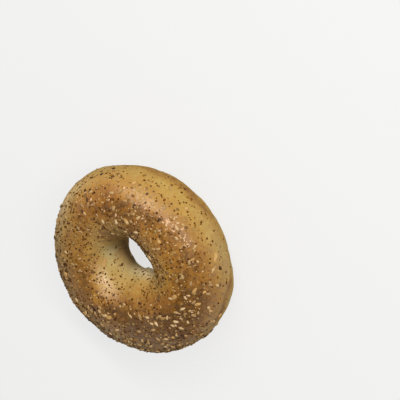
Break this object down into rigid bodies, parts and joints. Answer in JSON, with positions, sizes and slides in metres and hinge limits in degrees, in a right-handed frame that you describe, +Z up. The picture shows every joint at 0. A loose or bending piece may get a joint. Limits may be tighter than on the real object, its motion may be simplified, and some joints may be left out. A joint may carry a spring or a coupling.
{
  "type": "bagel",
  "caption": "Seeded ring bagel with a browned crust, an off-centre hole and a flat underside to rest on.",
  "frame": {"origin": "on the table under the middle of the ring's outline", "axes": "+Z up through the hole, X along the ring's longer way across"},
  "size_m": [0.1144, 0.1105, 0.0437],
  "materials": {
    "crust": "baked bread crust, golden brown with browner patches, satin",
    "sesame": "toasted sesame seed, cream to tan, satin",
    "poppy": "poppy seed, blue-black to dark brown, matt",
    "onion": "dried onion and garlic, toasted pale to dark brown, matt"
  },
  "bodies": {
    "root": {"bagel": "crust"}
  },
  "joints": []
}
